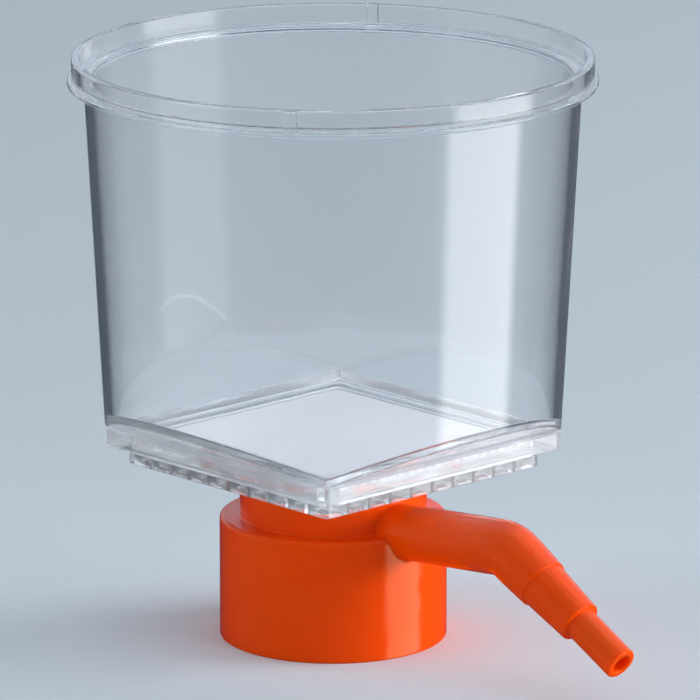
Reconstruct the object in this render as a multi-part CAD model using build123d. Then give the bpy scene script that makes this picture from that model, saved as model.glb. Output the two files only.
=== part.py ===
from build123d import *
from math import cos, radians, sin, tan
import os

# Bottle-top vacuum filtration unit, in millimetres.
# Origin: centre of the skirt's mouth, on the plane that the unit stands on. +Z is up, and the
# hose arm points along +X. The sides of the square filter head are parallel to X and Y.

# Neck adapter: skirt, deck and barrel
skirt_wall = 4.1
shoulder_height = 29.4
deck_thickness = 5.5
shoulder_round = 1.0
mouth_round = 0.4
barrel_radius = 22.2
barrel_height = 11.9
chamber_radius = 14.5
socket_wall = 3.4
socket_depth = 7.9

# Neck thread: a 45 mm bottle finish
thread_crest_radius = 21.7
thread_depth = 1.2
thread_pitch = 4.0
thread_lead_in = 5.0
thread_length = 11.0
groove_crest_width = 2.6
groove_root_width = 1.4

# Hose arm: one straight tube, a mitred elbow, then three steps down to the tip. The elbow margin
# is how far the first step runs straight past the mitre, and a taper is how much narrower a step
# ends than it starts, in radius.
arm_axis_drop = 1.9
arm_rise_deg = 5.1
arm_length = 59.3
arm_radius = 6.6
arm_bore_radius = 3.6
drop_deg = 28.45
elbow_margin = 3.0
later_step_radii = [5.85, 3.95]
step_tapers = [0.35, 0.7, 0.0]
step_lengths = [13.2, 13.8, 15.0]
step_round = 0.3
tip_round = 0.4
tip_bore_radius = 2.4

# Support plate
plate_setback = 3.9
plate_corner = 1.5
plate_depth = 4.1
plate_rim = 1.6
plate_floor = 1.7
hub_margin = 1.2
rib_thickness = 1.2
rib_cells = 10
spigot_wall = 1.7
spigot_end_gap = 0.3
bead_height = 0.5
bead_width = 1.6
bead_drop = 4.4
spout_radius = 5.5
spout_bore_radius = 4.0
spout_reach = 6.0
well_depth = 1.4
membrane_rib_width = 1.0
membrane_rib_count = 19
cross_channel = 6.0
drain_clear_radius = 7.0

# Membrane
window_border = 8.5
clamped_border = 1.6
membrane_thickness = 0.2

# Funnel
flange_half = 38.5
flange_corner = 2.0
flange_thickness = 4.4
lip_thickness = 1.0
flange_ledge = 1.0
facet_slope_deg = 27.5
wall = 2.0
cup_corner_inset = 0.55
cup_draft_deg = 3.0
cup_height = 84.2
rim_step = 2.9
rim_height = 6.4
brim_overhang = 1.0
brim_thickness = 1.3
rim_ledge_thickness = 1.8
index_width = 2.8
index_azimuth_deg = -52.3

# Gasket and port plug
gasket_thickness = 1.5
gasket_margin = 1.0
plug_length = 12.0
plug_start = 36.0

# Clearances between pieces
spigot_clearance = 0.15
platform_clearance = 0.2
gasket_clearance = 0.3
plug_clearance = 0.05

# How far a cutting shape runs past the face that it opens
overrun = 1.0

# Levels and radii that follow from the sizes above
thread_root_radius = thread_crest_radius + thread_depth
skirt_radius = thread_root_radius + skirt_wall
ceiling = shoulder_height - deck_thickness
arm_axis_height = shoulder_height - arm_axis_drop
step_radii = [arm_radius] + later_step_radii
mitre_reach = arm_radius * tan(radians((arm_rise_deg + drop_deg) / 2))
taper_start = mitre_reach + elbow_margin
plate_bottom = shoulder_height + barrel_height
plate_ceiling = plate_bottom + plate_depth - plate_floor
plate_half = flange_half - plate_setback
flange_bottom = plate_bottom + plate_depth
flange_top = flange_bottom + flange_thickness
window_half = flange_half - window_border
membrane_half = window_half + clamped_border
membrane_top = flange_top - lip_thickness
platform_top = membrane_top - membrane_thickness
platform_half = membrane_half + platform_clearance
cup_radius = flange_half * 2**0.5 - cup_corner_inset
rim_bottom = flange_top + cup_height
rim_top = rim_bottom + rim_height
rim_radius = cup_radius + cup_height * tan(radians(cup_draft_deg)) + rim_step
hub_radius = barrel_radius + hub_margin
socket_radius = barrel_radius - socket_wall
socket_floor = plate_bottom - socket_depth
spigot_radius = socket_radius - spigot_clearance
spigot_bore_radius = spigot_radius - spigot_wall
spigot_bottom = socket_floor + spigot_end_gap
spout_bottom = ceiling - spout_reach


def cup_radius_at(height):
    """Outer radius of the cup's wall at a height above the origin."""
    return cup_radius + (height - flange_top) * tan(radians(cup_draft_deg))


def disc(radius, low, high):
    """An upright cylinder about the Z axis between two heights."""
    return Pos(0, 0, low) * Cylinder(radius, high - low, align=(Align.CENTER, Align.CENTER, Align.MIN))


def slab(half, low, high, corner=0):
    """A square plate about the Z axis between two heights, with its upright edges rounded."""
    side = 2 * half
    block = Pos(0, 0, low) * Box(side, side, high - low, align=(Align.CENTER, Align.CENTER, Align.MIN))
    return fillet(block.edges().filter_by(Axis.Z), corner) if corner else block


def turned(outline):
    """A closed outline of (radius, height) points, turned about the Z axis."""
    face = make_face(Plane.XZ * Polyline(*outline, close=True))
    return revolve(face, Axis.Z)


def pyramid(foot_half, low, high):
    """An upside-down square pyramid whose sides rise outward at the facets' slope."""
    grown_half = foot_half + (high - low) / tan(radians(facet_slope_deg))
    foot = Pos(0, 0, low) * Rectangle(2 * foot_half, 2 * foot_half)
    top = Pos(0, 0, high) * Rectangle(2 * grown_half, 2 * grown_half)
    return loft([foot, top], ruled=True)


def arm_frame():
    """The plane across the arm's axis above the origin, its normal pointing out along the arm."""
    rise = radians(arm_rise_deg)
    return Plane(origin=(0, 0, arm_axis_height), x_dir=(0, 1, 0), z_dir=(cos(rise), 0, sin(rise)))


def barb_frame():
    """The plane across the barb's axis at the elbow, its normal pointing down to the tip."""
    rise, drop = radians(arm_rise_deg), radians(drop_deg)
    elbow = (arm_length * cos(rise), 0, arm_axis_height + arm_length * sin(rise))
    return Plane(origin=elbow, x_dir=(0, 1, 0), z_dir=(cos(drop), 0, -sin(drop)))


def mitre_plane():
    """The plane that halves the elbow's bend, its normal pointing towards the tip."""
    middle = radians((arm_rise_deg - drop_deg) / 2)
    return Plane(origin=barb_frame().origin, x_dir=(0, 1, 0), z_dir=(cos(middle), 0, sin(middle)))


def tube_along(frame, radius, start, end):
    """A cylinder along a frame's normal, between two distances from its origin."""
    return frame * disc(radius, start, end)


def barb_body():
    """The stepped barb, turned about its axis. Each step may taper, and ends in a rounded edge."""
    outline = [(0, -arm_radius), (arm_radius, -arm_radius), (arm_radius, taper_start)]
    edges = []
    reach = 0
    following_radii = later_step_radii + [0]
    for radius, taper, length, following in zip(step_radii, step_tapers, step_lengths, following_radii):
        reach += length
        edges.append((radius - taper, reach))
        outline += [edges[-1], (following, reach)]
    face = make_face(Plane.XZ * Polyline(*outline, close=True))
    for (radius, height), edge_round in zip(edges, [step_round, step_round, tip_round]):
        corner = face.vertices().sort_by_distance((radius, 0, height))[0]
        face = fillet(corner, edge_round)
    return barb_frame() * revolve(face, Axis.Z)


def hose_arm():
    """The arm's outside: the straight tube and the stepped barb, cut to one mitred elbow."""
    straight = tube_along(arm_frame(), arm_radius, chamber_radius, arm_length + arm_radius)
    straight = split(straight, bisect_by=mitre_plane(), keep=Keep.BOTTOM)
    barb = split(barb_body(), bisect_by=mitre_plane(), keep=Keep.TOP)
    return straight + barb


def hose_passage():
    """The air passage: a wide bore to the elbow, and a narrower one through the barb."""
    straight = tube_along(arm_frame(), arm_bore_radius, chamber_radius - arm_bore_radius, arm_length)
    turn = barb_frame() * Sphere(arm_bore_radius)
    through = tube_along(barb_frame(), tip_bore_radius, 0, sum(step_lengths) + overrun)
    return straight + turn + through


def thread_ring():
    """The ring of thread inside the skirt: a band with a helical groove cut through it."""
    low, high = thread_lead_in, thread_lead_in + thread_length
    behind_wall = thread_root_radius + skirt_wall / 4
    band = disc(behind_wall, low, high) - disc(thread_crest_radius, low - overrun, high + overrun)
    run = thread_length + 2 * thread_pitch
    path = Pos(0, 0, low - thread_pitch) * Helix(pitch=thread_pitch, height=run, radius=thread_crest_radius)
    start = path @ 0
    across = Plane(origin=start, x_dir=Vector(start.X, start.Y, 0).normalized(), z_dir=path % 0)
    section = across * Polygon(
        (-thread_depth, -groove_crest_width / 2 - thread_depth / 2),
        (thread_depth, -groove_root_width / 2),
        (thread_depth, groove_root_width / 2),
        (-thread_depth, groove_crest_width / 2 + thread_depth / 2),
        align=None,
    )
    return band - sweep(section, path=path, is_frenet=True)


def bead(radius, width, height):
    """A ring that stands out of the spigot by a height, or the groove that takes it."""
    middle = plate_bottom - bead_drop
    foot = radius - spigot_wall / 2
    return turned(
        [
            (foot, middle - width / 2),
            (radius, middle - width / 2),
            (radius + height, middle - width / 4),
            (radius + height, middle + width / 4),
            (radius, middle + width / 2),
            (foot, middle + width / 2),
        ]
    )


def neck_adapter():
    """Orange moulding: threaded skirt, deck, barrel and hose arm in one piece."""
    skirt = disc(skirt_radius, 0, shoulder_height)
    skirt = fillet(skirt.edges().group_by(Axis.Z)[-1], shoulder_round)
    barrel = disc(barrel_radius, ceiling, plate_bottom)
    body = skirt + barrel + hose_arm()
    body -= disc(thread_root_radius, -overrun, ceiling)
    body -= disc(chamber_radius, ceiling - overrun, socket_floor + overrun)
    body -= disc(socket_radius, socket_floor, plate_bottom + overrun)
    body -= bead(socket_radius, bead_width + 2 * spigot_clearance, bead_height)
    body -= hose_passage()
    mouth = body.edges().filter_by(GeomType.CIRCLE).group_by(Axis.Z)[0]
    body = fillet(mouth, mouth_round)
    return body + thread_ring()


def rib_pockets():
    """Square pockets in the plate's underside, outside the hub, that leave a grid of ribs."""
    pitch = (2 * (plate_half - plate_rim) + rib_thickness) / rib_cells
    side = pitch - rib_thickness
    pocket = slab(side / 2, plate_bottom, plate_ceiling)
    spots = GridLocations(pitch, pitch, rib_cells, rib_cells)
    return [spot * pocket for spot in spots if nearest_corner(spot.position, side / 2) > hub_radius]


def nearest_corner(centre, half):
    """How far from the Z axis the nearest corner of a square about a centre lies."""
    return (max(abs(centre.X) - half, 0) ** 2 + max(abs(centre.Y) - half, 0) ** 2) ** 0.5


def membrane_ribs():
    """Parallel ribs in the drain well that hold the membrane up, broken by a channel to the drain."""
    pitch = 2 * window_half / (membrane_rib_count + 1)
    length = window_half - cross_channel / 2
    middle = (window_half + cross_channel / 2) / 2
    rib = Pos(0, 0, platform_top - well_depth) * Box(
        length, membrane_rib_width, well_depth, align=(Align.CENTER, Align.CENTER, Align.MIN)
    )
    spots = GridLocations(2 * middle, pitch, 2, membrane_rib_count)
    clear = disc(drain_clear_radius, platform_top - well_depth - overrun, platform_top + overrun)
    return [(spot * rib) - clear for spot in spots]


def support_plate():
    """Clear plate under the membrane: drain ribs above, a grid of ribs below, and the drain hole."""
    plate = slab(plate_half, plate_bottom, flange_bottom, plate_corner) - rib_pockets()
    platform = slab(platform_half, flange_bottom, platform_top)
    well = slab(window_half, platform_top - well_depth, platform_top + overrun)
    recess = disc(spigot_bore_radius, plate_bottom - overrun, plate_ceiling)
    drain = disc(spout_bore_radius, plate_bottom - overrun, platform_top + overrun)
    return plate + platform - well + membrane_ribs() - recess - drain


def plate_spigot():
    """The support plate's round spigot, with the bead that snaps into the barrel."""
    spigot = disc(spigot_radius, spigot_bottom, plate_bottom)
    spigot += bead(spigot_radius, bead_width, bead_height)
    return spigot - disc(spigot_bore_radius, spigot_bottom - overrun, plate_bottom + overrun)


def plate_spout():
    """The support plate's drain spout, which reaches past the gasket into the bottle's neck."""
    spout = disc(spout_radius, spout_bottom, plate_ceiling)
    return spout - disc(spout_bore_radius, spout_bottom - overrun, plate_ceiling + overrun)


def membrane():
    """White filter sheet, lying on the ribs, its border under the funnel's lip."""
    return slab(membrane_half, platform_top, membrane_top)


def index_tabs():
    """Two small upright tabs on the rim's outside, opposite each other."""
    depth = wall + brim_overhang
    tab = Pos(rim_radius + brim_overhang - depth / 2, 0, rim_bottom) * Box(
        depth, index_width, rim_height, align=(Align.CENTER, Align.CENTER, Align.MIN)
    )
    return [Rot(0, 0, index_azimuth_deg + turn) * tab for turn in (0, 180)]


def rim():
    """The band at the cup's mouth, stepped out from the wall, with a brim along its bottom edge."""
    band = disc(rim_radius, rim_bottom, rim_top)
    brim = disc(rim_radius + brim_overhang, rim_bottom, rim_bottom + brim_thickness)
    return band + brim + index_tabs()


def cup_body(inset, foot_half, top):
    """The cone, less an inset from its surface, where it lies inside the four facets' pyramid."""
    foot_radius = cup_radius_at(flange_top) - inset
    top_radius = cup_radius_at(top) - inset
    cone = turned([(0, flange_top), (foot_radius, flange_top), (top_radius, top), (0, top)])
    return cone & pyramid(foot_half, flange_top, top)


def funnel():
    """Clear moulding: the cup, its rim, four sloping facets, and the square flange round the window."""
    facet_foot = flange_half - flange_ledge
    inner_foot = facet_foot - wall / sin(radians(facet_slope_deg))
    ledge_top = rim_bottom + rim_ledge_thickness
    flange = slab(flange_half, flange_bottom, flange_top, flange_corner)
    body = cup_body(0, facet_foot, rim_bottom) + flange + rim()
    body -= cup_body(wall / cos(radians(cup_draft_deg)), inner_foot, ledge_top)
    body -= disc(rim_radius - wall, ledge_top, rim_top + overrun)
    body -= slab(window_half, flange_bottom, flange_top + overrun)
    return body - slab(platform_half + platform_clearance, flange_bottom - overrun, membrane_top)


def neck_gasket():
    """Soft ring against the deck, which the bottle's mouth presses on."""
    low = ceiling - gasket_thickness
    ring = disc(thread_root_radius - gasket_clearance, low, ceiling)
    return ring - disc(chamber_radius + gasket_margin, low - overrun, ceiling + overrun)


def port_plug():
    """Cotton plug in the hose arm's bore."""
    return tube_along(arm_frame(), arm_bore_radius - plug_clearance, plug_start, plug_start + plug_length)


def main():
    """Writes one STEP file for each node. The support plate, its spigot and its spout are one moulding."""
    pieces = {
        "funnel": funnel(),
        "membrane": membrane(),
        "support_plate": support_plate(),
        "plate_spigot": plate_spigot(),
        "plate_spout": plate_spout(),
        "neck_adapter": neck_adapter(),
        "neck_gasket": neck_gasket(),
        "port_plug": port_plug(),
    }
    os.makedirs("parts", exist_ok=True)
    for node, piece in pieces.items():
        export_step(piece, f"parts/{node}.step")


main()
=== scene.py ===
"""Looks of the vacuum filtration unit: a clear funnel with a square filter head on an orange neck adapter."""

from math import ceil, cos, hypot, pi, radians, sin, tan

import bmesh
import bpy
from mathutils import Matrix, Vector, noise


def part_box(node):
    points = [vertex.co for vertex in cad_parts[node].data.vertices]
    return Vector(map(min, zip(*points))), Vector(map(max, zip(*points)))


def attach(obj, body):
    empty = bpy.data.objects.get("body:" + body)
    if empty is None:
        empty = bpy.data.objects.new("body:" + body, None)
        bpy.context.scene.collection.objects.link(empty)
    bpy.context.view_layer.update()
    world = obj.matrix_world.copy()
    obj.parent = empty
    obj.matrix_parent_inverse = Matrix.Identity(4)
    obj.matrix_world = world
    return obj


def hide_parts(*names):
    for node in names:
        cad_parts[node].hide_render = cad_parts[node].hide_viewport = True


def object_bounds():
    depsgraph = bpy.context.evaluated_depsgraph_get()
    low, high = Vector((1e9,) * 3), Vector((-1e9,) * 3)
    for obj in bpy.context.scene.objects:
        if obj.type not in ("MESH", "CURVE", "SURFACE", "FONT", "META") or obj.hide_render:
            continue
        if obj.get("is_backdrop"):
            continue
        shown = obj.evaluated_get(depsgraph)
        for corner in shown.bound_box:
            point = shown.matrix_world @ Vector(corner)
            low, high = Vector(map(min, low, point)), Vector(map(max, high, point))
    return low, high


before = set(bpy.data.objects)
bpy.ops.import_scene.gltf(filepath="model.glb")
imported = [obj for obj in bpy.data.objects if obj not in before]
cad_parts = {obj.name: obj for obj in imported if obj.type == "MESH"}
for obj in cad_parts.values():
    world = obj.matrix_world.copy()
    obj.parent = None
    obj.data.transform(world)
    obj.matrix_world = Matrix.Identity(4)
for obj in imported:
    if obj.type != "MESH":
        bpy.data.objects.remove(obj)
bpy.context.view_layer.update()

# Sizes are in metres, and MM turns a size in millimetres into one.
MM = 0.001

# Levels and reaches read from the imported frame
rim_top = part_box("funnel")[1].z
flange_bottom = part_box("funnel")[0].z
brim_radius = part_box("funnel")[1].y
membrane_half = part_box("membrane")[1].x
membrane_bottom, membrane_top = (corner.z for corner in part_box("membrane"))
plate_bottom, platform_top = (corner.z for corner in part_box("support_plate"))
plate_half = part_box("support_plate")[1].x
spout_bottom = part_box("plate_spout")[0].z
skirt_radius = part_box("neck_adapter")[1].y
gasket_bottom, ceiling = (corner.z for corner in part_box("neck_gasket"))
gasket_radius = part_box("neck_gasket")[1].y

# Funnel
flange_half = 38.5 * MM
flange_corner = 2.0 * MM
flange_thickness = 4.4 * MM
flange_ledge = 1.0 * MM
facet_slope = radians(27.5)
facet_corner = 1.0 * MM
wall = 2.0 * MM
cup_radius = 53.9 * MM
cup_draft = radians(3.0)
rim_height = 6.4 * MM
brim_overhang = 1.0 * MM
brim_thickness = 1.3 * MM
rim_ledge_thickness = 1.8 * MM
index_half_width = 1.4 * MM
index_depth = 0.92 * brim_overhang
index_edge = 0.15 * MM
index_angles = [radians(-52.3), radians(127.7)]
crease_round = 1.1 * MM
window_half = 30.0 * MM
window_corner = 0.8 * MM

# Support plate
plate_corner = 1.5 * MM
plate_rim = 1.6 * MM
rib_thickness = 1.2 * MM
rib_cells = 10
hub_radius = 23.4 * MM
pocket_depth = 2.4 * MM
platform_half = 31.8 * MM
platform_corner = 1.0 * MM
platform_clearance = 0.2 * MM
well_depth = 1.4 * MM
drain_rib_width = 1.0 * MM
drain_rib_root = 0.3 * MM
drain_rib_count = 19
cross_channel = 6.0 * MM
drain_clear_radius = 7.0 * MM
spigot_radius = 18.65 * MM
spigot_wall = 1.7 * MM
spigot_length = 7.6 * MM
spout_radius = 5.5 * MM
spout_bore_radius = 4.0 * MM
bead_height = 0.5 * MM
bead_width = 1.6 * MM
bead_drop = 4.4 * MM

# Membrane
membrane_cells = 120
membrane_sag = 0.015 * MM

# Neck adapter
shoulder_height = 29.4 * MM
shoulder_round = 1.0 * MM
barrel_radius = 22.2 * MM
chamber_radius = 14.5 * MM
socket_radius = 18.8 * MM
socket_depth = 7.9 * MM
mouth_chamfer = 0.4 * MM
thread_crest_radius = 21.7 * MM
thread_root_radius = 22.9 * MM
thread_pitch = 4.0 * MM
thread_low, thread_high = 5.0 * MM, 16.0 * MM
thread_ridge = 2.0 * MM
thread_flank = 0.7 * MM
thread_run_out = 1.0 * MM
thread_rows = 56

# Hose arm and barb. The bores' ends are measured from the elbow.
arm_axis_height = 27.5 * MM
arm_rise = radians(5.1)
arm_length = 59.3 * MM
arm_radius = 6.6 * MM
arm_root = barrel_radius - 4.0 * MM
arm_bore_radius = 3.6 * MM
arm_bore_start = 13.0 * MM
arm_bore_end = 3.0 * MM
barb_drop = radians(28.45)
elbow_radius = 8.5 * MM
taper_start = 5.0 * MM
step_radii = [arm_radius, 5.85 * MM, 3.95 * MM]
step_tapers = [0.35 * MM, 0.7 * MM, 0]
step_lengths = [13.2 * MM, 13.8 * MM, 15.0 * MM]
step_round = 0.5 * MM
tip_bore_radius = 2.4 * MM
tip_bore_start = 4.0 * MM

# Gasket and port plug
gasket_margin = 1.0 * MM
gasket_round = 0.45 * MM
plug_start = 36.0 * MM
plug_length = 12.0 * MM
plug_clearance = 0.05 * MM
plug_round = 1.4 * MM
plug_lump = 0.06
plug_lump_size = 1.2 * MM

# How far a cutting shape reaches past the face that it cuts
CUT_PAST = 1.0 * MM

# How squares with rounded corners are drawn round their centre: a superellipse's power for each
# corner radius's share of the half width.
SQUARENESS = 2.37

# The most of a side that the arc at one end of it may take
SIDE_SHARE = 0.45

# How many angles round shapes, and shapes with square parts, are drawn at
ROUND_COUNT = 192
SQUARE_COUNT = 240

# How far apart a tube's rings, and the rows of the adapter's outside, lie at most
TUBE_STEP = 1.0 * MM
WALL_STEP = 1.5 * MM

# Points this near to each other are made one.
SAME_POINT = 1e-6

# Colours, as linear red, green and blue
clear_tint = (0.985, 0.993, 1.0)
clear_shadow = (0.93, 0.95, 0.96)
milky = (0.92, 0.94, 1.0)
orange_dark, orange_light = (0.93, 0.062, 0.001), (0.97, 0.084, 0.002)
orange_gloss = (1.0, 0.95, 0.5)
membrane_dark, membrane_light = (0.57, 0.59, 0.66), (0.67, 0.69, 0.76)
foam_dark, foam_light = (0.66, 0.66, 0.63), (0.84, 0.84, 0.81)
cotton_dark, cotton_light = (0.70, 0.70, 0.68), (0.90, 0.90, 0.87)
floor_colour = (0.76, 0.87, 0.97)
backdrop_colour = (0.50, 0.62, 0.75)
dim_colour = (0.02, 0.035, 0.06)
fill_colour = (0.92, 0.96, 1.0)


def placed(name, data):
    """A new object in the scene, which holds a mesh, a lamp or a camera."""
    thing = bpy.data.objects.new(name, data)
    bpy.context.scene.collection.objects.link(thing)
    return thing


def shown(mesh, name):
    """An object with that mesh, its faces turned outward and shaded smooth."""
    shape = bmesh.new()
    shape.from_mesh(mesh)
    bmesh.ops.remove_doubles(shape, verts=shape.verts, dist=SAME_POINT)
    bmesh.ops.recalc_face_normals(shape, faces=shape.faces)
    shape.to_mesh(mesh)
    shape.free()
    mesh.shade_smooth()
    return placed(name, mesh)


def keep_flats_flat(piece):
    """Weighs each point's shading by its faces' area, so that flats stay flat beside rounded edges."""
    piece.modifiers.new("flats", "WEIGHTED_NORMAL").weight = 90
    return piece


def rounded(outline, steps=5):
    """A closed outline of (x, y, radius) corners as points, each corner turned into an arc."""
    points = []
    for i, (x, y, radius) in enumerate(outline):
        corner = Vector((x, y))
        back = Vector(outline[i - 1][:2]) - corner
        ahead = Vector(outline[(i + 1) % len(outline)][:2]) - corner
        half_turn = (pi - back.angle(ahead)) / 2
        reach = min(radius * tan(half_turn), SIDE_SHARE * back.length, SIDE_SHARE * ahead.length)
        start = corner + back.normalized() * reach
        end = corner + ahead.normalized() * reach
        for step in range(steps + 1):
            t = step / steps
            weights = (1 - t) ** 2, 2 * t * (1 - t) * cos(half_turn), t**2
            points.append((weights[0] * start + weights[1] * corner + weights[2] * end) / sum(weights))
    return points


def in_steps(points, step):
    """The same open line of points, with more of them so that no two lie further apart than a step."""
    dense = [points[0]]
    for start, end in zip(points, points[1:]):
        start, end = Vector(start), Vector(end)
        count = max(1, ceil((end - start).length / step - 1e-6))
        dense += [start.lerp(end, i / count) for i in range(1, count + 1)]
    return dense


def skin(name, rings, capped=False):
    """A closed surface through rings of points. The last joins the first, unless both are capped."""
    along = len(rings[0])
    joins = len(rings) - 1 if capped else len(rings)
    faces = []
    for i in range(joins):
        here, there = i * along, (i + 1) % len(rings) * along
        for j in range(along):
            after = (j + 1) % along
            faces.append((here + j, there + j, there + after, here + after))
    if capped:
        faces += [tuple(range(along)), tuple(range(joins * along, len(rings) * along))]
    mesh = bpy.data.meshes.new(name)
    mesh.from_pydata([point for ring in rings for point in ring], [], faces)
    return shown(mesh, name)


def turned(name, profile_at, angles):
    """A closed surface whose (radius, height) outline may change with the angle round the Z axis."""
    rings = []
    for angle in angles:
        rings.append([(r * cos(angle), r * sin(angle), z) for r, z in profile_at(angle)])
    return skin(name, rings)


def even_angles(count):
    """That many angles, evenly spaced over a full turn."""
    return [2 * pi * i / count for i in range(count)]


def square_angles():
    """Angles round the centre, close together at a square's corners and at the index tabs."""
    corner_step, corner_steps = radians(0.25), 12
    too_near = radians(0.02)
    found = even_angles(SQUARE_COUNT)
    for quarter in range(4):
        corner = pi / 4 + quarter * pi / 2
        found += [corner + corner_step * step for step in range(-corner_steps, corner_steps + 1)]
    edge = index_half_width / brim_radius
    blur = index_edge / brim_radius
    for tab in index_angles:
        for side in (-1, 1):
            found += [(tab + side * (edge + blur * step / 2)) % (2 * pi) for step in range(-2, 3)]
    found.sort()
    return [angle for angle, after in zip(found, found[1:] + [2 * pi]) if after - angle > too_near]


def square_reach(half, corner, angle):
    """How far a square with rounded corners reaches from its centre, at an angle round it."""
    power = SQUARENESS * half / corner
    return half / (abs(cos(angle)) ** power + abs(sin(angle)) ** power) ** (1 / power)


def crease(radius, foot_half, level, angle):
    """Where a facet that rises from a square foot meets the cup's cone: (radius, height)."""
    spread = square_reach(foot_half, facet_corner, angle) / foot_half
    rise = (radius - spread * foot_half) / (spread / tan(facet_slope) - tan(cup_draft))
    return radius + rise * tan(cup_draft), level + rise


def index_bulge(angle):
    """How far the rim stands out at an angle: by an index tab's depth on a tab, and else by nothing."""
    across = min(abs((angle - tab + pi) % (2 * pi) - pi) for tab in index_angles) * brim_radius
    t = min(max((index_half_width + index_edge - across) / (2 * index_edge), 0), 1)
    return index_depth * t * t * (3 - 2 * t)


def funnel_profile(angle):
    """The funnel's section at an angle: flange, facet, cup wall, brim, rim, ledge and back down."""
    level = flange_bottom + flange_thickness
    rim_bottom = rim_top - rim_height
    ledge = rim_bottom + rim_ledge_thickness
    rim_radius = brim_radius - brim_overhang
    inner_radius = cup_radius - wall / cos(cup_draft)
    foot = flange_half - flange_ledge
    inner_foot = foot - wall / sin(facet_slope)

    def square(half, corner):
        return square_reach(half, corner, angle)

    def cone(radius, height):
        return radius + (height - level) * tan(cup_draft)

    recess = square(platform_half + platform_clearance, platform_corner)
    tab_radius = rim_radius + index_bulge(angle)
    return rounded(
        [
            (recess, flange_bottom, 0.15 * MM),
            (square(flange_half, flange_corner), flange_bottom, 0.45 * MM),
            (square(flange_half, flange_corner), level, 0.4 * MM),
            (square(foot, facet_corner), level, 0.1 * MM),
            (*crease(cup_radius, foot, level, angle), crease_round),
            (cone(cup_radius, rim_bottom), rim_bottom, 0.5 * MM),
            (brim_radius, rim_bottom, 0.5 * MM),
            (brim_radius, rim_bottom + brim_thickness, 0.45 * MM),
            (tab_radius, rim_bottom + brim_thickness, 0.3 * MM),
            (tab_radius, rim_top, 0.6 * MM),
            (rim_radius - wall, rim_top, 0.5 * MM),
            (rim_radius - wall, ledge, 0.5 * MM),
            (cone(inner_radius, ledge), ledge, 0.5 * MM),
            (*crease(inner_radius, inner_foot, level, angle), crease_round),
            (square(inner_foot, facet_corner), level, 0.5 * MM),
            (square(window_half, window_corner), level, 0.3 * MM),
            (square(window_half, window_corner), membrane_top, 0.15 * MM),
            (recess, membrane_top, 0.1 * MM),
        ]
    )


def make_funnel():
    """The clear moulding: cup, rim, four facets and square flange, with every edge rounded."""
    return keep_flats_flat(turned("clear_funnel", funnel_profile, square_angles()))


def box_mesh(name, boxes):
    """One mesh of separate boxes, each given by its lowest and highest corners."""
    shape = bmesh.new()
    for low, high in boxes:
        middle = (Vector(low) + Vector(high)) / 2
        size = Vector(high) - Vector(low)
        place = Matrix.Translation(middle) @ Matrix.Diagonal((*size, 1))
        bmesh.ops.create_cube(shape, size=1, matrix=place)
    mesh = bpy.data.meshes.new(name)
    shape.to_mesh(mesh)
    shape.free()
    return placed(name, mesh)


def carve(piece, tool, operation):
    """Joins a tool to a piece, or cuts it away, and drops the tool."""
    modifier = piece.modifiers.new("carve", "BOOLEAN")
    modifier.operation = operation
    modifier.solver = "EXACT"
    modifier.object = tool
    bpy.context.view_layer.update()
    made = piece.evaluated_get(bpy.context.evaluated_depsgraph_get())
    mesh = bpy.data.meshes.new_from_object(made)
    piece.modifiers.clear()
    piece.data = mesh
    bpy.data.objects.remove(tool)


def plate_profile(angle):
    """The support plate's section at an angle, with no ribs or pockets."""
    spigot_bottom = plate_bottom - spigot_length
    spigot_bore = spigot_radius - spigot_wall
    hub_ceiling = plate_bottom + pocket_depth
    well_floor = platform_top - well_depth
    bead = plate_bottom - bead_drop
    bead_radius = spigot_radius + bead_height
    platform = square_reach(platform_half, platform_corner, angle)
    well = square_reach(window_half, platform_corner, angle)
    plate = square_reach(plate_half, plate_corner, angle)
    return rounded(
        [
            (spout_bore_radius, well_floor, 0.4 * MM),
            (well, well_floor, 0.3 * MM),
            (well, platform_top, 0.2 * MM),
            (platform, platform_top, 0.3 * MM),
            (platform, flange_bottom, 0.2 * MM),
            (plate, flange_bottom, 0.3 * MM),
            (plate, plate_bottom, 0.35 * MM),
            (spigot_radius, plate_bottom, 0.2 * MM),
            (spigot_radius, bead + bead_width / 2, 0.1 * MM),
            (bead_radius, bead + bead_width / 4, 0.2 * MM),
            (bead_radius, bead - bead_width / 4, 0.2 * MM),
            (spigot_radius, bead - bead_width / 2, 0.1 * MM),
            (spigot_radius, spigot_bottom, 0.4 * MM),
            (spigot_bore, spigot_bottom, 0.4 * MM),
            (spigot_bore, hub_ceiling, 0.5 * MM),
            (spout_radius, hub_ceiling, 0.8 * MM),
            (spout_radius, spout_bottom, 0.4 * MM),
            (spout_bore_radius, spout_bottom, 0.4 * MM),
        ],
        steps=4,
    )


def rib_pocket_boxes():
    """The square pockets in the plate's underside, outside the hub, that leave a grid of ribs."""
    pitch = (2 * (plate_half - plate_rim) + rib_thickness) / rib_cells
    half = (pitch - rib_thickness) / 2
    places = [(i - (rib_cells - 1) / 2) * pitch for i in range(rib_cells)]
    boxes = []
    for x in places:
        for y in places:
            if hypot(max(abs(x) - half, 0), max(abs(y) - half, 0)) > hub_radius:
                low = (x - half, y - half, plate_bottom - CUT_PAST)
                high = (x + half, y + half, plate_bottom + pocket_depth)
                boxes.append((low, high))
    return boxes


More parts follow.
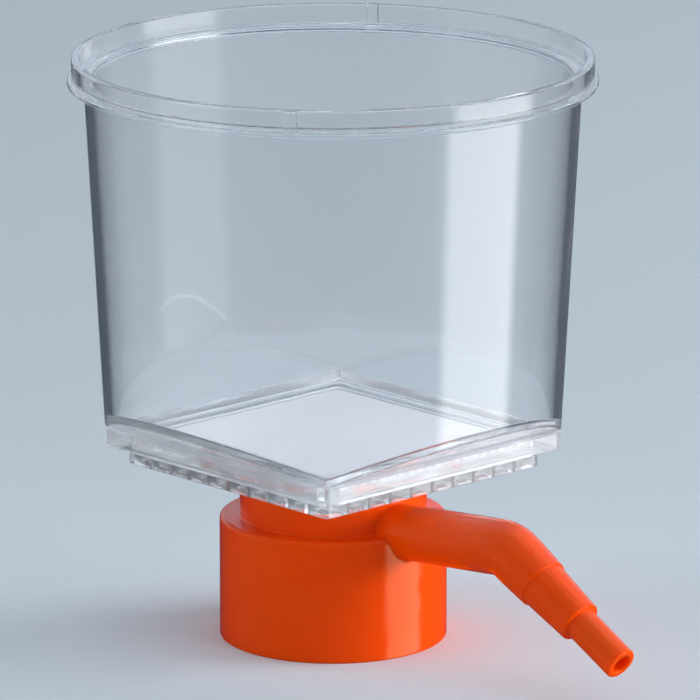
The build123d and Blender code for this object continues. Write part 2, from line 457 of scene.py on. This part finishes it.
def drain_rib_boxes():
    """The parallel ribs under the membrane, broken by a channel and by the drain."""
    pitch = 2 * window_half / (drain_rib_count + 1)
    bottom = platform_top - well_depth - drain_rib_root
    far = window_half + drain_rib_root
    boxes = []
    for i in range(drain_rib_count):
        y = (i - (drain_rib_count - 1) / 2) * pitch
        near = max(cross_channel / 2, max(drain_clear_radius**2 - y**2, 0) ** 0.5)
        for start, end in ((-far, -near), (near, far)):
            low = (start, y - drain_rib_width / 2, bottom)
            high = (end, y + drain_rib_width / 2, platform_top)
            boxes.append((low, high))
    return boxes


def make_plate():
    """The clear support plate: drain ribs above, pockets below, spigot with its bead, and spout."""
    plate = turned("clear_plate", plate_profile, square_angles())
    carve(plate, box_mesh("pockets", rib_pocket_boxes()), "DIFFERENCE")
    carve(plate, box_mesh("ribs", drain_rib_boxes()), "UNION")
    return keep_flats_flat(plate)


def make_membrane():
    """The filter sheet, a hair lower between the drain ribs than on them."""
    pitch = 2 * window_half / (drain_rib_count + 1)
    mesh = bpy.data.meshes.new("filter_membrane")
    shape = bmesh.new()
    cells = {"x_segments": membrane_cells, "y_segments": membrane_cells}
    bmesh.ops.create_grid(shape, size=membrane_half, **cells)
    for vert in shape.verts:
        inside = max(abs(vert.co.x), abs(vert.co.y)) < window_half
        sag = membrane_sag * (1 - cos(2 * pi * vert.co.y / pitch)) if inside else 0
        vert.co.z = membrane_top - sag
    lower_side = bmesh.ops.extrude_face_region(shape, geom=shape.faces[:])
    for vert in lower_side["geom"]:
        if isinstance(vert, bmesh.types.BMVert):
            vert.co.z -= membrane_top - membrane_bottom
    shape.to_mesh(mesh)
    shape.free()
    return shown(mesh, "filter_membrane")


def arm_place(distance):
    """A point on the arm's axis and the way the axis runs there, with the elbow as a tight bend."""
    bend = arm_rise + barb_drop
    reach = elbow_radius * tan(bend / 2)
    share = min(max((distance - arm_length + reach) / (2 * reach), 0), 1)
    heading = arm_rise - share * bend
    way = Vector((cos(heading), 0, sin(heading)))
    foot = Vector((0, 0, arm_axis_height))
    along = Vector((cos(arm_rise), 0, sin(arm_rise)))
    if share == 0:
        return foot + along * distance, way
    if share == 1:
        return foot + along * arm_length + way * (distance - arm_length), way
    above = Vector((-sin(arm_rise), 0, cos(arm_rise)))
    middle = foot + along * (arm_length - reach) - above * elbow_radius
    return middle + Vector((-sin(heading), 0, cos(heading))) * elbow_radius, way


def tube(name, stations, count):
    """A closed tube along the arm and barb through (distance, radius) stations."""
    side = Vector((0, 1, 0))
    rings = []
    for distance, radius in in_steps(stations, TUBE_STEP):
        centre, way = arm_place(distance)
        up = way.cross(side)
        rings.append([centre + (side * cos(a) + up * sin(a)) * radius for a in even_angles(count)])
    return skin(name, rings, capped=True)


def arm_stations():
    """The arm's outside as (distance, radius): each step of the barb may taper and ends rounded."""
    on_axis, too_near = 0.5 * MM, 0.01 * MM
    outline = [(arm_root, arm_radius, 0), (arm_length + taper_start, arm_radius, 0)]
    reach = arm_length
    # The last step ends a little inside the bore, which is cut out later.
    following_radii = step_radii[1:] + [0.9 * tip_bore_radius]
    for radius, taper, length, following in zip(step_radii, step_tapers, step_lengths, following_radii):
        reach += length
        outline += [(reach, radius - taper, step_round), (reach, following, 0.4 * MM)]
    closed = rounded(outline + [(reach, 0, 0), (arm_root, 0, 0)])
    kept = [closed[0]]
    for station in closed[1:]:
        if station[1] > on_axis and (station - kept[-1]).length > too_near:
            kept.append(station)
    return kept


def adapter_outside():
    """The skirt and barrel's outside, in rows close enough for the arm to join them cleanly."""
    outline = rounded(
        [
            (0, 0, 0),
            (skirt_radius, 0, 0.4 * MM),
            (skirt_radius, shoulder_height, shoulder_round),
            (barrel_radius, shoulder_height, 0.5 * MM),
            (barrel_radius, plate_bottom, 0.3 * MM),
            (0, plate_bottom, 0),
        ]
    )
    return in_steps(outline, WALL_STEP)


def thread_depth(angle, height):
    """How far the thread stands in from the skirt's wall, at an angle and a height."""
    turn = (height / thread_pitch - angle / (2 * pi)) % 1
    from_middle = abs(turn - 0.5) * thread_pitch
    ridge = min(max((thread_ridge / 2 + thread_flank - from_middle) / thread_flank, 0), 1)
    risen = max((height - thread_low) / thread_run_out, 0)
    left = max((thread_high - height) / thread_run_out, 0)
    return (thread_root_radius - thread_crest_radius) * ridge * min(risen, left, 1)


def adapter_inside(angle):
    """The adapter's hollow: threaded skirt, air chamber and the socket for the plate's spigot."""
    arc_steps = 3
    mouth_radius = thread_root_radius + mouth_chamfer
    lower = [
        Vector((0, -2 * CUT_PAST)),
        Vector((mouth_radius, -2 * CUT_PAST)),
        Vector((mouth_radius, 0)),
        Vector((thread_root_radius, mouth_chamfer)),
    ]
    threaded = []
    for row in range(thread_rows + 1):
        height = thread_low + (thread_high - thread_low) * row / thread_rows
        threaded.append(Vector((thread_root_radius - thread_depth(angle, height), height)))
    socket_floor = plate_bottom - socket_depth
    groove = plate_bottom - bead_drop
    groove_half = 0.6 * bead_width
    groove_radius = socket_radius + bead_height
    upper = rounded(
        [
            (thread_root_radius, ceiling, 0.4 * MM),
            (chamber_radius, ceiling, 0.4 * MM),
            (chamber_radius, socket_floor, 0.4 * MM),
            (socket_radius, socket_floor, 0.3 * MM),
            (socket_radius, groove - groove_half, 0.1 * MM),
            (groove_radius, groove - bead_width / 4, 0.1 * MM),
            (groove_radius, groove + bead_width / 4, 0.1 * MM),
            (socket_radius, groove + groove_half, 0.1 * MM),
            (socket_radius, plate_bottom + CUT_PAST, 0),
            (0, plate_bottom + CUT_PAST, 0),
            (0, ceiling, 0),
        ],
        steps=arc_steps,
    )
    # The last corner lies level with the first, so the first one's arc runs inward along the ceiling and
    # the hollow narrows above the thread. The last corner's own points are dropped.
    return lower + threaded + upper[: -(arc_steps + 1)]


def make_adapter():
    """The orange moulding: threaded skirt, deck, barrel, and the bent, stepped hose arm."""
    outside = adapter_outside()
    angles = even_angles(ROUND_COUNT)
    adapter = turned("orange_adapter", lambda angle: outside, angles)
    carve(adapter, tube("arm", arm_stations(), count=96), "UNION")
    carve(adapter, turned("hollow", adapter_inside, angles), "DIFFERENCE")
    bore = [
        (arm_bore_start, arm_bore_radius),
        (arm_length, arm_bore_radius),
        (arm_length + arm_bore_end, arm_bore_radius),
        (arm_length + tip_bore_start, tip_bore_radius),
        (arm_length + sum(step_lengths) + CUT_PAST, tip_bore_radius),
    ]
    carve(adapter, tube("bore", bore, count=48), "DIFFERENCE")
    return keep_flats_flat(adapter)


def make_gasket():
    """The foam ring that the bottle's mouth presses on, with soft edges."""
    inner = chamber_radius + gasket_margin
    outline = rounded(
        [
            (inner, gasket_bottom, gasket_round),
            (gasket_radius, gasket_bottom, gasket_round),
            (gasket_radius, ceiling, gasket_round),
            (inner, ceiling, gasket_round),
        ]
    )
    return turned("foam_gasket", lambda angle: outline, even_angles(ROUND_COUNT))


def make_plug():
    """The cotton plug in the arm's bore: a lumpy roll with soft ends."""
    on_axis = 0.2 * MM
    radius = arm_bore_radius - plug_clearance
    end = plug_start + plug_length
    outline = rounded(
        [
            (plug_start, 0, 0),
            (plug_start, radius, plug_round),
            (end, radius, plug_round),
            (end, 0, 0),
        ]
    )
    plug = tube("cotton_plug", [station for station in outline if station[1] > on_axis], count=64)
    foot, along = arm_place(0)
    for vert in plug.data.vertices:
        from_axis = (vert.co - foot) - along * along.dot(vert.co - foot)
        lump = plug_lump + plug_lump * noise.noise(vert.co / plug_lump_size)
        vert.co -= from_axis * lump
    return plug


def make_camera():
    """A long lens at the height of a seated viewer, looking a little down on the unit."""
    azimuth, pitch, yaw = radians(46.7), radians(14.341), radians(0.138)
    reach, height = 1.65287, 0.49181
    data = bpy.data.cameras.new("camera")
    data.lens = 371.63
    data.sensor_width = 36
    data.clip_start, data.clip_end = 0.1, 100
    camera = placed("camera", data)
    camera.location = (sin(azimuth) * reach, -cos(azimuth) * reach, height)
    camera.rotation_euler = (pi / 2 - pitch, 0, azimuth - yaw)
    bpy.context.scene.camera = camera
    return azimuth


def area_light(name, azimuth, elevation, width, height, power):
    """A soft panel that faces the unit, placed by its direction from the unit.

    It lights surfaces, but nothing shows it: neither the camera nor light bounced in the plastic."""
    distance = 2.0
    data = bpy.data.lights.new(name, "AREA")
    data.shape = "RECTANGLE"
    data.size, data.size_y = width, height
    data.energy = power
    data.cycles.use_multiple_importance_sampling = False
    low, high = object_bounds()
    back = Vector((sin(azimuth) * cos(elevation), -cos(azimuth) * cos(elevation), sin(elevation)))
    light = placed(name, data)
    light.location = (low + high) / 2 + back * distance
    light.rotation_mode = "QUATERNION"
    light.rotation_quaternion = back.to_track_quat("Z", "Y")
    light.visible_camera = False
    light.visible_glossy = False


def add(tree, kind, inputs=None, **settings):
    """A new node. An input given as (node, output) is linked, and any other is set."""
    node = tree.nodes.new(kind)
    for name, value in settings.items():
        setattr(node, name, value)
    for name, value in (inputs or {}).items():
        if isinstance(value, tuple) and isinstance(value[0], bpy.types.Node):
            tree.links.new(value[0].outputs[value[1]], node.inputs[name])
        else:
            node.inputs[name].default_value = value
    return node


def maths(tree, operation, *values):
    """A node that works out one operation on its values."""
    return add(tree, "ShaderNodeMath", dict(enumerate(values)), operation=operation)


def smooth(tree, value, start, end, to_low, to_high):
    """A soft step of a value, from one level to another."""
    return add(tree, "ShaderNodeMapRange", {
        "Value": value, "From Min": start, "From Max": end, "To Min": to_low, "To Max": to_high},
        interpolation_type="SMOOTHSTEP")


def colour_between(tree, share, dark, light):
    """A colour from dark to light. Sockets 0, 6 and 7 take its share and colours, and 2 gives it out."""
    return add(tree, "ShaderNodeMix", {0: share, 6: (*dark, 1), 7: (*light, 1)}, data_type="RGBA")


def shader_between(tree, share, first, second):
    """A shader that goes from the first to the second as the share goes from 0 to 1."""
    return add(tree, "ShaderNodeMixShader", {0: share, 1: (first, 0), 2: (second, 0)})


def blank_material(name):
    """A new material with no nodes, and its node tree."""
    material = bpy.data.materials.new(name)
    material.use_nodes = True
    material.node_tree.nodes.clear()
    return material, material.node_tree


def noise_texture(tree, place, scale, detail):
    """Soft noise that is fixed to the object, with a scale in patches a metre."""
    return add(tree, "ShaderNodeTexNoise", {"Vector": (place, "Object"), "Scale": scale, "Detail": detail})


def moulded_skin(tree, place, scale, strength):
    """The faint unevenness of a moulded surface, as a bump."""
    waves = noise_texture(tree, place, scale, 2.0)
    return add(tree, "ShaderNodeBump", {"Height": (waves, 0), "Strength": strength, "Distance": 0.001})


def clear_plastic(name, roughness, haze_below, haze_above, level):
    """Clear polystyrene: it refracts, lets lamps through, and is milkier below a level."""
    material, tree = blank_material(name)
    place = add(tree, "ShaderNodeTexCoord")
    bump = moulded_skin(tree, place, scale=60.0, strength=0.03)
    glass = add(tree, "ShaderNodeBsdfPrincipled", {
        "Base Color": (*clear_tint, 1), "Roughness": roughness, "IOR": 1.59,
        "Transmission Weight": 1.0, "Normal": (bump, 0)})
    milk = add(tree, "ShaderNodeBsdfDiffuse", {"Color": (*milky, 1)})
    height = add(tree, "ShaderNodeSeparateXYZ", {"Vector": (place, "Object")})
    haze = add(tree, "ShaderNodeMapRange", {
        "Value": (height, "Z"), "From Min": level, "From Max": level + 1.5 * MM,
        "To Min": haze_below, "To Max": haze_above})
    hazy = shader_between(tree, (haze, 0), glass, milk)
    thin = add(tree, "ShaderNodeBsdfTransparent", {"Color": (*clear_shadow, 1)})
    path = add(tree, "ShaderNodeLightPath")
    surface = shader_between(tree, (path, "Is Shadow Ray"), hazy, thin)
    add(tree, "ShaderNodeOutputMaterial", {"Surface": (surface, 0)})
    return material


def orange_plastic():
    """Orange polyethylene: light sinks a little way in, and the moulded skin is faintly uneven."""
    material, tree = blank_material("orange_polyethylene")
    place = add(tree, "ShaderNodeTexCoord")
    bump = moulded_skin(tree, place, scale=110.0, strength=0.28)
    clouds = noise_texture(tree, place, 35.0, 2.0)
    colour = colour_between(tree, (clouds, 0), orange_dark, orange_light)
    roughness = add(tree, "ShaderNodeMapRange", {"Value": (clouds, 0), "To Min": 0.10, "To Max": 0.18})
    surface = add(tree, "ShaderNodeBsdfPrincipled", {
        "Base Color": (colour, 2), "Roughness": (roughness, 0), "Specular Tint": (*orange_gloss, 1),
        "Subsurface Weight": 0.4, "Subsurface Radius": (1.0, 0.35, 0.08), "Subsurface Scale": 5.0 * MM,
        "Normal": (bump, 0)})
    add(tree, "ShaderNodeOutputMaterial", {"Surface": (surface, 0)})
    return material


def fine_texture(name, pattern, scale, dark, light, depth):
    """A matt surface whose colour and height both follow a fine pattern of noise or of cells."""
    material, tree = blank_material(name)
    place = add(tree, "ShaderNodeTexCoord")
    grain = add(tree, pattern, {"Vector": (place, "Object"), "Scale": scale})
    clouds = noise_texture(tree, place, scale / 12, 3.0)
    mottle = maths(tree, "MULTIPLY", (grain, 0), (clouds, 0))
    colour = colour_between(tree, (mottle, 0), dark, light)
    bump = add(tree, "ShaderNodeBump", {"Height": (grain, 0), "Strength": depth, "Distance": 0.0003})
    surface = add(tree, "ShaderNodeBsdfPrincipled", {
        "Base Color": (colour, 2), "Roughness": 0.85, "Normal": (bump, 0)})
    add(tree, "ShaderNodeOutputMaterial", {"Surface": (surface, 0)})
    return material


def floor_paint():
    """A matt pale paint that fades into the surround away from the unit, so that no horizon shows.

    Light mirrored in the object misses it, and meets the surround."""
    fade_start, fade_end = 0.8, 2.2
    material, tree = blank_material("floor_paint")
    place = add(tree, "ShaderNodeTexCoord")
    distance = add(tree, "ShaderNodeVectorMath", {0: (place, "Object")}, operation="LENGTH")
    fade = smooth(tree, (distance, "Value"), fade_start, fade_end, 0.0, 1.0)
    paint = add(tree, "ShaderNodeBsdfDiffuse", {"Color": (*floor_colour, 1)})
    nothing = add(tree, "ShaderNodeBsdfTransparent")
    ground = shader_between(tree, (fade, 0), paint, nothing)
    path = add(tree, "ShaderNodeLightPath")
    surface = shader_between(tree, (path, "Glossy Depth"), ground, nothing)
    add(tree, "ShaderNodeOutputMaterial", {"Surface": (surface, 0)})
    return material


def make_floor():
    """A wide floor under the unit, which isn't part of it."""
    reach = 20
    corners = [(-reach, -reach, 0), (reach, -reach, 0), (reach, reach, 0), (-reach, reach, 0)]
    mesh = bpy.data.meshes.new("floor")
    mesh.from_pydata(corners, [], [(0, 1, 2, 3)])
    mesh.materials.append(floor_paint())
    floor = placed("floor", mesh)
    floor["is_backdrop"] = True


def sector(tree, turn, centre, half_width):
    """One within so wide a turn to either side of a centre, and nothing beyond it, with a soft edge."""
    soft = radians(4)
    offset = maths(tree, "SUBTRACT", turn, centre)
    wrapped = maths(tree, "WRAP", (offset, 0), -pi, pi)
    aside = maths(tree, "ABSOLUTE", (wrapped, 0))
    return smooth(tree, (aside, 0), half_width - soft, half_width + soft, 1.0, 0.0)


def height_at(elevation):
    """The height of a direction of length 1 at an elevation in degrees."""
    return sin(radians(elevation))


def panel(tree, turn, height, centre, half_width, low, high, change):
    """How bright a soft upright panel is in a direction.

    It is low below the two elevations of a change, high above them, and nothing near the ground."""
    across = sector(tree, turn, centre, half_width)
    up = smooth(tree, height, height_at(change[0]), height_at(change[1]), low, high)
    foot = smooth(tree, height, height_at(-36), height_at(-27), 0.0, 1.0)
    lit = maths(tree, "MULTIPLY", (up, 0), (foot, 0))
    return maths(tree, "MULTIPLY", (across, 0), (lit, 0))


def mirrored_panels(tree, turn, height, camera_turn):
    """How bright the soft panels are that only mirrored light meets: right, left and above."""
    right = panel(
        tree, turn, height, centre=camera_turn + radians(77), half_width=radians(21),
        low=2.5, high=0.7, change=(-13, -9))
    left = panel(
        tree, turn, height, centre=camera_turn - radians(86), half_width=radians(32),
        low=0.05, high=0.22, change=(-14.5, -12.5))
    above = smooth(tree, height, height_at(40), height_at(60), 0.0, 0.35)
    sides = maths(tree, "ADD", (right, 0), (left, 0))
    return maths(tree, "ADD", (sides, 0), (above, 0))


def make_world(azimuth):
    """A pale surround. Mirrored light meets the pale backdrop only behind the unit.

    Elsewhere it meets dim walls with soft bright panels, and matt surfaces meet an even fill."""
    world = bpy.data.worlds.new("studio")
    bpy.context.scene.world = world
    world.use_nodes = True
    world.cycles.sampling_method = "NONE"
    tree = world.node_tree
    tree.nodes.clear()
    place = add(tree, "ShaderNodeTexCoord")
    way = add(tree, "ShaderNodeSeparateXYZ", {"Vector": (place, "Generated")})
    angle = maths(tree, "ARCTAN2", (way, "Y"), (way, "X"))
    turn, height = (angle, 0), (way, "Z")
    camera_turn = azimuth - pi / 2
    panels = mirrored_panels(tree, turn, height, camera_turn)
    behind = sector(tree, turn, camera_turn + pi, radians(60))
    over_ground = smooth(tree, height, height_at(-2), height_at(4), 0.0, 1.0)
    backdrop = maths(tree, "MULTIPLY", (behind, 0), (over_ground, 0))
    back = add(tree, "ShaderNodeBackground", {"Color": (*backdrop_colour, 1), "Strength": 1.0})
    dim = add(tree, "ShaderNodeBackground", {"Color": (*dim_colour, 1), "Strength": 1.0})
    fill = add(tree, "ShaderNodeBackground", {"Color": (*fill_colour, 1), "Strength": 0.3})
    glow = add(tree, "ShaderNodeBackground", {"Color": (1, 1, 1, 1), "Strength": (panels, 0)})
    walls = shader_between(tree, (backdrop, 0), dim, back)
    mirrored = add(tree, "ShaderNodeAddShader", {0: (walls, 0), 1: (glow, 0)})
    path = add(tree, "ShaderNodeLightPath")
    seen = shader_between(tree, (path, "Glossy Depth"), back, mirrored)
    surface = shader_between(tree, (path, "Diffuse Depth"), seen, fill)
    add(tree, "ShaderNodeOutputWorld", {"Surface": (surface, 0)})


def set_bounces():
    """Enough bounces for light to come out again through every layer of the clear pieces."""
    cycles = bpy.context.scene.cycles
    cycles.max_bounces = 32
    cycles.glossy_bounces = 24
    cycles.transmission_bounces = 32
    cycles.transparent_max_bounces = 32


def finish_piece(piece, material, slot, *nodes):
    """Gives a modelled piece its material, and lets it stand for its CAD nodes."""
    piece.data.materials.clear()
    piece.data.materials.append(material)
    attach(piece, "root")
    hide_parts(*nodes)


azimuth = make_camera()
make_world(azimuth)
make_floor()
area_light("key", azimuth + radians(95), radians(10), width=1.2, height=0.7, power=37)
area_light("kicker", azimuth + radians(62), radians(8), width=1.2, height=0.6, power=17)
area_light("fill", azimuth - radians(75), radians(12), width=1.2, height=0.8, power=9.6)
area_light("top", azimuth, radians(80), width=1.6, height=1.6, power=2.6)
set_bounces()

clear = clear_plastic(
    "clear_polystyrene", roughness=0.0, haze_below=0.12, haze_above=0.02,
    level=flange_bottom + flange_thickness)
clear_ribbed = clear_plastic(
    "clear_ribbed_polystyrene", roughness=0.2, haze_below=0.06, haze_above=0.05, level=plate_bottom)
filter_white = fine_texture(
    "filter_white", "ShaderNodeTexNoise", 2500.0, membrane_dark, membrane_light, depth=0.25)
foam = fine_texture("gasket_foam", "ShaderNodeTexVoronoi", 2200.0, foam_dark, foam_light, depth=0.6)
cotton = fine_texture("cotton", "ShaderNodeTexNoise", 1400.0, cotton_dark, cotton_light, depth=0.8)
finish_piece(make_funnel(), clear, "clear_plastic", "funnel")
finish_piece(make_plate(), clear_ribbed, "clear_plate", "support_plate", "plate_spigot", "plate_spout")
finish_piece(make_membrane(), filter_white, "filter_membrane", "membrane")
finish_piece(make_adapter(), orange_plastic(), "orange_plastic", "neck_adapter")
finish_piece(make_gasket(), foam, "gasket_foam", "neck_gasket")
finish_piece(make_plug(), cotton, "cotton", "port_plug")

bpy.context.scene.view_settings.view_transform = "Standard"
